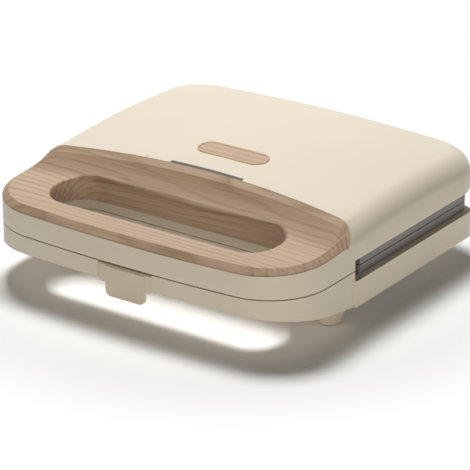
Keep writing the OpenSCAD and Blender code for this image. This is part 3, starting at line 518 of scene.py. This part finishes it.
def scoopHeight(x, y, ridgeZ):
    # gently rising flat, swept up to the ridge by a power curve
    t, s = toaster, trim
    climb = (np.maximum(y - t["frontY"], s["flatFrom"]) - s["flatFrom"]) / s["flatOver"]
    flat = t["seatZ"] + s["bevel"] + s["barRise"] + s["flatRise"] * climb
    ahead = t["ridgeY"] - x ** 2 / (2 * t["ridgeRadius"]) - y
    share = np.clip((s["scoopLength"] - ahead) / (s["scoopLength"] - s["bevel"]), 0, 1)
    return flat + (ridgeZ - flat) * share ** s["scoopPower"]


def shellHeight(x, y, widest):
    # the crowned top less a quarter circle that starts one fillet inside the side; x stops at widest
    t = toaster
    side = np.maximum(np.minimum(np.abs(x), widest) - t["width"] / 2 + t["fillet"], 0)
    return topHeight(x, y) - t["fillet"] + np.sqrt(np.maximum(t["fillet"] ** 2 - side ** 2, 0))


def crestHeight(x, y):
    # height of the bevel's inner edge: the lid's rounded side less the bevel's fall, never below the flat
    t, s = toaster, trim
    shell = shellHeight(x, y, t["width"] / 2 - s["crestInset"])
    return np.maximum(shell - s["bevelFall"] * s["bevel"], t["seatZ"] + s["bevel"] + s["barRise"])


def scoopPaintedShade(x, y):
    # painted shade on the scoop: darkest near the ridge, paler with distance from it by a smooth step, and
    # a bell-shaped painted dark line in the crease just below the bevel; far off it keeps the flat value
    t, s, tone = toaster, trim, trim["toneAndPaintedShade"]
    ahead = t["ridgeY"] - x ** 2 / (2 * t["ridgeRadius"]) - y
    length = s["scoopLength"] + s["tail"]
    share = smoothStep((length - ahead) / (length - s["bevel"]) / s["full"])
    line = np.exp(-((ahead - s["bevel"] - s["lineAt"]) / s["lineWidth"]) ** 2)
    return tone["flat"] + (tone["scoop"] - tone["flat"]) * share + (tone["line"] - tone["scoop"]) * line


def trimOutline(inset):
    # right half of the trim's edge, drawn in by inset: bow, corner, side, ridge end, ridge
    t = toaster
    endX, endY = ridgeEndCentre()
    points, normals = frontOutline(endY, (34, 30, 26))
    arc = np.linspace(0, math.pi / 2, 16)[1:]
    turnPoints = np.stack([endX + t["ridgeEnd"] * np.cos(arc), endY + t["ridgeEnd"] * np.sin(arc)], 1)
    x = endX * (1 - np.linspace(0, 1, 46))[1:]
    slope = -x / t["ridgeRadius"]
    ridgeNormals = np.stack([-slope, np.ones_like(x)], 1)
    ridgeNormals /= np.linalg.norm(ridgeNormals, axis=1)[:, None]
    allPoints = np.concatenate([points, turnPoints, np.stack([x, ridgeLine(x)], 1)])
    allNormals = np.concatenate([normals, np.stack([np.cos(arc), np.sin(arc)], 1), ridgeNormals])
    return allPoints - inset * allNormals, len(points)


def openingOutline(grow, count):
    # right half of the finger opening, drawn out by grow: front line, two quarter circles, rear line
    t = toaster
    front, rear = trim["holeFront"], trim["holeRear"]
    w = t["holeWidth"] / 2 + grow
    r = t["holeCorner"] + grow
    y0, y1 = t["holeY0"] - grow, t["holeY1"] + grow
    u = np.linspace(0, 1, count - front - rear + 1)
    angle = math.pi * u - math.pi / 2
    bend = np.stack([w - r + r * np.cos(angle), np.where(u < 0.5, y0 + r, y1 - r) + r * np.sin(angle)], 1)
    lead = np.stack([(w - r) * np.arange(front) / front, np.full(front, y0)], 1)
    tail = np.stack([(w - r) * np.arange(rear - 2, -1, -1) / (rear - 1), np.full(rear - 1, y1)], 1)
    return np.concatenate([lead, bend, tail])


def trimEdge(outer, frontCount):
    # heights of the seat, a plane that climbs to the rear, and of the trim's lower visible edge.
    # The edge runs one lip above the seat, climbs by a square law beside the ridge's end and joins the lid.
    t, s = toaster, trim
    seat = t["seatZ"] + (outer[:, 1] - t["frontY"]) * t["seatSlope"]
    shell = shellHeight(outer[:, 0], outer[:, 1], t["width"] / 2)
    endY = outer[frontCount - 1, 1]
    rise = np.clip((outer[:, 1] - endY + s["sideRise"]) / s["sideRise"], 0, 1) ** 2
    onRidge = np.arange(len(outer)) >= frontCount
    low = seat + s["lip"]
    return seat, low + np.maximum(shell - low, 0) * np.where(onRidge, 1.0, rise), onRidge


def bevelRows(outer, seat, edge, onRidge):
    # from the seat up to the edge, round the slightly rounded corner and straight up the bevel
    s, tone = trim, trim["toneAndPaintedShade"]
    bx, by = trimOutline(s["bevel"])[0].T
    crest = scoopHeight(bx, by, crestHeight(bx, by))
    fall = np.where(onRidge, 0.0, s["edge"])  # the ridge's edge stays sharp against the lid
    rows = [np.column_stack([outer, seat])]
    for turn in np.linspace(0, 1, 4):
        line = trimOutline(s["edge"] * turn * turn)[0]
        height = edge - fall * (1 - turn) + (crest - edge) * s["edge"] * turn * turn / s["bevel"]
        rows.append(np.column_stack([line, height]))
    for share in np.append(np.linspace(0.2, 0.86, 6), 0.97):
        line = trimOutline(s["bevel"] * share)[0]
        rows.append(np.column_stack([line, edge + (crest - edge) * share]))
    # painted shade: the bevels darker than the flats, the ridge's bevel a little less
    return rows, [np.where(onRidge, tone["ridgeBevel"], tone["bevel"])] * len(rows)


def scoopRows(opening):
    # straight lines in plan from the bevel to the opening, at the scoop's height;
    # a quarter ellipse rounds the lip, deeper at the rear than at the front
    t, s = toaster, trim
    bevelLine = trimOutline(s["bevel"])[0]
    rear = np.clip((opening[:, 1] - t["holeY0"]) / (t["holeY1"] - t["holeY0"]), 0, 1)
    lip = s["lipFront"] + (s["lipRear"] - s["lipFront"]) * rear ** 2
    reach = np.linalg.norm(bevelLine - opening, axis=1)
    rows, tones = [], []
    for u in np.linspace(0, 1, s["across"]):
        line = bevelLine + (opening - bevelLine) * u
        z = scoopHeight(line[:, 0], line[:, 1], crestHeight(line[:, 0], line[:, 1]))
        left = np.clip(1 - (1 - u) * reach / lip, 0, 1)
        z = z - lip * (1 - np.sqrt(np.maximum(1 - left ** 2, 0)))
        rows.append(np.column_stack([line, z]))
        # painted shade along the scoop, less of it toward the lip: the upward-facing rounding is painted
        # lighter
        tones.append(scoopPaintedShade(line[:, 0], line[:, 1]) * (1 - s["lipPale"] * left ** 2))
    return rows, tones


def trimSurface():
    # rings from the outer edge over the bevel and the scoop to the opening, down its wall and back under
    t, s = toaster, trim
    outer, frontCount = trimOutline(0.0)
    count = len(outer)
    rows, tones = bevelRows(outer, *trimEdge(outer, frontCount))
    opening = openingOutline(0.0, count)
    more = scoopRows(opening)
    rows += more[0]
    tones += more[1]
    last = rows[-1][:, 2]
    # no painted shade on the opening's wall
    wall = np.full(count, s["toneAndPaintedShade"]["wall"])
    for u in np.linspace(0, 1, s["down"])[1:]:
        rows.append(np.column_stack([opening, last + (t["collarZ"] - last) * u]))
        tones.append(wall)
    collar = openingOutline(s["collar"], count)
    rows.append(np.column_stack([collar, np.full(count, t["collarZ"])]))
    rows.append(np.column_stack([collar, t["seatZ"] + (collar[:, 1] - t["frontY"]) * t["seatSlope"]]))
    tones += [wall] * 2
    rings, marks = [], []
    for row, shade in zip(rows, tones):
        back = row[1:-1][::-1] * np.array([-1.0, 1.0, 1.0])
        rings.append(np.concatenate([row, back]))
        marks.append(np.concatenate([shade, shade[1:-1][::-1]]))
    grid = np.array(rings)
    faces = gridFaces(grid.shape[0], grid.shape[1], wrapRows=True, wrapCols=True)
    return grid.reshape(-1, 3), faces, np.concatenate(marks)


print("trim")
trimPoints, trimFaces, trimMarks = trimSurface()
handleTrim = meshPiece("handleTrim", [(trimPoints, trimFaces)], wood, "lid", 28.0, trimMarks)
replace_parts(handleTrim, "handle_trim")


badge = {
    "length": 55.0, "width": 18.5, "middleY": 0.0, "sink": 1.2, "thickness": 1.7,
    "rim": 1.3, "recess": 0.45, "edge": 0.4, "around": 160,
    "step": 0.4, "stepTurn": (0.25, 0.12), "seam": 0.02,  # the rim's inner slope, and the middle line's gap
}


def pillOutline(inset, count):
    # two half circles joined by straight sides; counterclockwise
    s = badge
    r = s["width"] / 2 - inset
    x = s["length"] / 2 - s["width"] / 2
    quarter = count // 2
    a = np.linspace(-math.pi / 2, math.pi / 2, quarter)
    right = np.stack([x + r * np.cos(a), r * np.sin(a)], 1)
    left = np.stack([-x - r * np.cos(a), -r * np.sin(a)], 1)
    return np.concatenate([right, left])


def badgeSurface():
    # rings from the seat up the rounded edge, over the rim, down to the bare face and in to the middle line
    s = badge
    half, face = s["width"] / 2, s["thickness"] - s["recess"]
    profile = [(half - s["seam"], 0.0), (0.0, 0.0), (0.0, s["thickness"] - s["edge"])]
    profile += [(s["edge"] * (1 - math.cos(a)), s["thickness"] - s["edge"] * (1 - math.sin(a)))
                for a in np.linspace(0, math.pi / 2, 5)[1:]]
    inner = s["rim"] + s["step"]
    turnIn, turnDown = s["stepTurn"]
    profile += [(s["rim"], s["thickness"]), (s["rim"] + turnIn, s["thickness"] - turnDown), (inner, face)]
    profile += [(inner + (half - s["seam"] - inner) * u, face) for u in np.linspace(0, 1, 8)[1:]]
    rings = []
    for inset, z in profile:
        line = pillOutline(inset, s["around"])
        rings.append(np.column_stack([line, np.full(len(line), z)]))
    grid = np.array(rings)
    rise = (topHeight(0.0, s["middleY"] + 5) - topHeight(0.0, s["middleY"] - 5)) / 10
    run = math.hypot(1, rise)
    y, z = grid[..., 1].copy(), grid[..., 2].copy()
    grid[..., 1] = s["middleY"] + (y - z * rise) / run
    grid[..., 2] = topHeight(0.0, s["middleY"]) - s["sink"] + (z + y * rise) / run
    rows, cols = grid.shape[:2]
    return grid.reshape(-1, 3), gridFaces(rows, cols, wrapCols=True)


window = {
    "half": 29.0, "depth": 3.3, "gap": 0.02, "proud": 0.32, "edge": 0.35,
    "sink": 0.6, "shoulder": 0.08, "along": 120,
}


def windowSurface():
    # a strip that follows the crowned top, a hair above it, its long edges turned down
    s = window
    across = np.array([0.0, 0.06, 0.2, 0.8, 0.94, 1.0])
    dip = np.array([s["sink"], s["shoulder"], 0.0, 0.0, s["shoulder"], s["sink"]])
    x = np.linspace(-s["half"], s["half"], s["along"])
    gx, gy = np.meshgrid(x, s["depth"] * across + s["gap"], indexing="ij")
    gy = gy + ridgeLine(gx)
    ends = np.clip(1 - (s["half"] - np.abs(gx)) / s["edge"], 0, 1) * s["sink"]
    z = topHeight(gx, gy) + s["proud"] - np.maximum(dip[None, :], ends)
    return np.stack([gx, gy, z], 2).reshape(-1, 3), gridFaces(*gx.shape, flip=True)


print("badge and window")
meshPiece("windowStrip", [windowSurface()], smoked, "lid", 60.0)
badgePlate = meshPiece("badgePlate", [badgeSurface()], badgeWood, "lid", 30.0)
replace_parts(badgePlate, "badge_plate")


foot = {
    "topDiameter": 27.0, "lowDiameter": 17.0, "low": 0.5, "top": 17.6, "edge": 2.2,
    "padRadius": 4.6, "around": 64,
    "front": [(-103.2, -39.1), (103.2, -39.1)], "rear": [(-85.0, 77.5), (85.0, 77.5)],
}


def revolved(profile, centre, around):
    # a profile of radius and height, turned about the upright line through centre
    a = np.linspace(0, 2 * math.pi, around, endpoint=False)
    radius, height = np.array(profile).T
    x = centre[0] + radius[:, None] * np.cos(a)[None, :]
    y = centre[1] + radius[:, None] * np.sin(a)[None, :]
    z = np.repeat(height[:, None], around, 1)
    return np.stack([x, y, z], 2).reshape(-1, 3), gridFaces(len(profile), around, wrapCols=True)


def footProfile():
    # flat underneath, a quarter circle at the lower edge, a straight slope up and a flat top
    s = foot
    low, top = s["lowDiameter"] / 2, s["topDiameter"] / 2
    bend = [(low - s["edge"] + s["edge"] * math.sin(a), s["low"] + s["edge"] * (1 - math.cos(a)))
            for a in np.linspace(0, math.pi / 2, 7)]
    rise = [(low + (top - low) * u, s["low"] + s["edge"] + (s["top"] - s["low"] - s["edge"]) * u)
            for u in np.linspace(0, 1, 9)[1:]]
    return [(0.0, s["low"]), (s["padRadius"], s["low"])] + bend + rise + [(0.0, s["top"])]


print("feet")
for name, node, row in (("frontFeet", "front_feet", "front"), ("rearFeet", "rear_feet", "rear")):
    feet = [revolved(footProfile(), place, foot["around"]) for place in foot[row]]
    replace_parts(meshPiece(name, feet, cream, "base", 35.0), node)


# mouldings that keep the solids' faces, with rounded edges
rounded = [
    # piece, node, material, body, slot, radius
    ("lowerHousing", "lower_housing", cream, "base", "cream_plastic", 0.7),
    ("latchLever", "latch", latchCream, "latch", "latch_plastic", 0.55),
    ("hingeArms", "hinge_arms", cream, "base", "cream_plastic", 0.6),
    ("hingeLugs", "hinge_lugs", cream, "lid", "cream_plastic", 0.5),
    ("upperPlate", "upper_plate", nonstick, "lid", "nonstick", 0.8),
    ("lowerPlate", "lower_plate", nonstick, "base", "nonstick", 0.8),
    ("cordGland", "cord_gland", glandRubber, "base", "gland_rubber", 0.5),
]
print("rounded mouldings")
for name, node, material, body, slot, radius in rounded:
    roundedCopy(name, node, material, body, radius)

# solids that stay as they are and get a material
keptNodes = {
    "indicator_window": smoked,
    "indicator_lamps": lampRed, "lamp_holder": innerWhite, "upper_handle_cover": cream,
    "upper_element": elementSteel, "upper_reflector": sheetSteel, "upper_plate_screws": fixingSteel,
    "thermal_fuse": fixingSteel, "hinge_pins": fixingSteel, "latch_bracket": fixingSteel,
    "latch_pin": fixingSteel, "latch_spring": fixingSteel, "lower_handle_cover": cream,
    "bottom_cover": cream, "lower_element": elementSteel, "lower_reflector": sheetSteel,
    "lower_plate_screws": fixingSteel, "thermostat": ceramic, "terminal_block": innerWhite,
    "supply_wires": sheath, "foot_pads": rubber, "cover_screws": fixingSteel,
}
for node, material in keptNodes.items():
    nodes[node].data.materials.clear()
    nodes[node].data.materials.append(material)


# the floor's size, and the ring in which it fades to white, are in metres
stage = {"size": 6.0, "floor": (0.98, 0.98, 0.98), "fade": (0.17, 0.25), "lift": 0.05}


def seenRays(tree):
    # 1 for camera, mirror and see-through rays, 0 for the rays that carry light
    rays = tree.nodes.new("ShaderNodeLightPath")
    found = rays.outputs["Is Camera Ray"]
    for kind in ("Is Glossy Ray", "Is Transmission Ray"):
        either = tree.nodes.new("ShaderNodeMath")
        either.operation = "MAXIMUM"
        tree.links.new(found, either.inputs[0])
        tree.links.new(rays.outputs[kind], either.inputs[1])
        found = either.outputs[0]
    return found


def floorMaterial():
    # pale floor; away from the object the camera and mirror rays see plain white
    material, tree, shader = newMaterial("paleFloor")
    output = next(n for n in tree.nodes if n.type == "OUTPUT_MATERIAL")
    shader.inputs["Base Color"].default_value = (*stage["floor"], 1)
    shader.inputs["Roughness"].default_value = 0.95
    shader.inputs["Specular IOR Level"].default_value = 0.0
    white = tree.nodes.new("ShaderNodeEmission")
    seen = seenRays(tree)
    coords = tree.nodes.new("ShaderNodeTexCoord")
    distance = tree.nodes.new("ShaderNodeVectorMath")
    distance.operation = "LENGTH"
    tree.links.new(coords.outputs["Object"], distance.inputs[0])
    ring = tree.nodes.new("ShaderNodeMapRange")
    ring.interpolation_type = "SMOOTHSTEP"
    ring.inputs["From Min"].default_value = stage["fade"][0]
    ring.inputs["From Max"].default_value = stage["fade"][1]
    tree.links.new(distance.outputs["Value"], ring.inputs["Value"])
    both = tree.nodes.new("ShaderNodeMath")
    both.operation = "MULTIPLY"
    tree.links.new(seen, both.inputs[0])
    tree.links.new(ring.outputs["Result"], both.inputs[1])
    glow = tree.nodes.new("ShaderNodeEmission")
    lift = tree.nodes.new("ShaderNodeMath")
    lift.operation = "MULTIPLY"
    lift.inputs[1].default_value = stage["lift"]
    tree.links.new(seen, lift.inputs[0])
    tree.links.new(lift.outputs[0], glow.inputs["Strength"])
    lifted = tree.nodes.new("ShaderNodeAddShader")
    tree.links.new(shader.outputs["BSDF"], lifted.inputs[0])
    tree.links.new(glow.outputs["Emission"], lifted.inputs[1])
    mix = tree.nodes.new("ShaderNodeMixShader")
    tree.links.new(both.outputs[0], mix.inputs[0])
    tree.links.new(lifted.outputs[0], mix.inputs[1])
    tree.links.new(white.outputs["Emission"], mix.inputs[2])
    tree.links.new(mix.outputs[0], output.inputs["Surface"])
    return material


floorMesh = bpy.data.meshes.new("floor")
half = stage["size"] / 2
corners = [(-half, -half, 0), (half, -half, 0), (half, half, 0), (-half, half, 0)]
floorMesh.from_pydata(corners, [], [(0, 1, 2, 3)])
floorMesh.materials.append(floorMaterial())
floor = bpy.data.objects.new("floor", floorMesh)
bpy.context.scene.collection.objects.link(floor)


# places and sizes in metres, power in watts
lamps = {
    "keyLight": {"place": (-0.28, 0.28, 1.28), "size": 0.42, "power": 16.0, "colour": (1.0, 1.0, 1.0)},
    "fillLight": {"place": (1.4, -1.7, 0.14), "size": 1.0, "power": 17.2, "colour": (1.0, 0.925, 0.79)},
}
lampAim = (0.0, 0.0, 0.05)


def areaLight(name, lampLook):
    # a square lamp turned from its place toward the aim
    data = bpy.data.lights.new(name, "AREA")
    data.shape = "SQUARE"
    data.size = lampLook["size"]
    data.energy = lampLook["power"]
    data.color = lampLook["colour"]
    lamp = bpy.data.objects.new(name, data)
    bpy.context.scene.collection.objects.link(lamp)
    lamp.location = lampLook["place"]
    direction = Vector(lampAim) - Vector(lampLook["place"])
    lamp.rotation_euler = direction.to_track_quat("-Z", "Y").to_euler()


print("light and camera")
for name, lampLook in lamps.items():
    areaLight(name, lampLook)

room = {"tint": (1.0, 0.95, 0.88), "strength": 0.03}
world = bpy.data.worlds.new("studio")
bpy.context.scene.world = world
world.use_nodes = True
tree = world.node_tree
tree.nodes.clear()
out = tree.nodes.new("ShaderNodeOutputWorld")
background = tree.nodes.new("ShaderNodeBackground")
background.inputs["Color"].default_value = (*room["tint"], 1)
background.inputs["Strength"].default_value = room["strength"]
seenWhite = tree.nodes.new("ShaderNodeBackground")
worldMix = tree.nodes.new("ShaderNodeMixShader")
tree.links.new(seenRays(tree), worldMix.inputs[0])
tree.links.new(background.outputs["Background"], worldMix.inputs[1])
tree.links.new(seenWhite.outputs["Background"], worldMix.inputs[2])
tree.links.new(worldMix.outputs[0], out.inputs["Surface"])

# the photograph's camera: lens in millimetres, place in metres, tilt and turn in degrees
view = {"lens": 230.0, "sensor": 36.0, "place": (1.0669, -1.5276, 0.8208), "tilt": 66.8, "turn": 34.9}
camera = bpy.data.cameras.new("camera")
camera.lens = view["lens"]
camera.sensor_width = view["sensor"]
camera.clip_end = 20.0
cameraObject = bpy.data.objects.new("camera", camera)
bpy.context.scene.collection.objects.link(cameraObject)
cameraObject.location = view["place"]
cameraObject.rotation_euler = (math.radians(view["tilt"]), 0.0, math.radians(view["turn"]))
bpy.context.scene.camera = cameraObject
bpy.context.scene.view_settings.view_transform = "Standard"
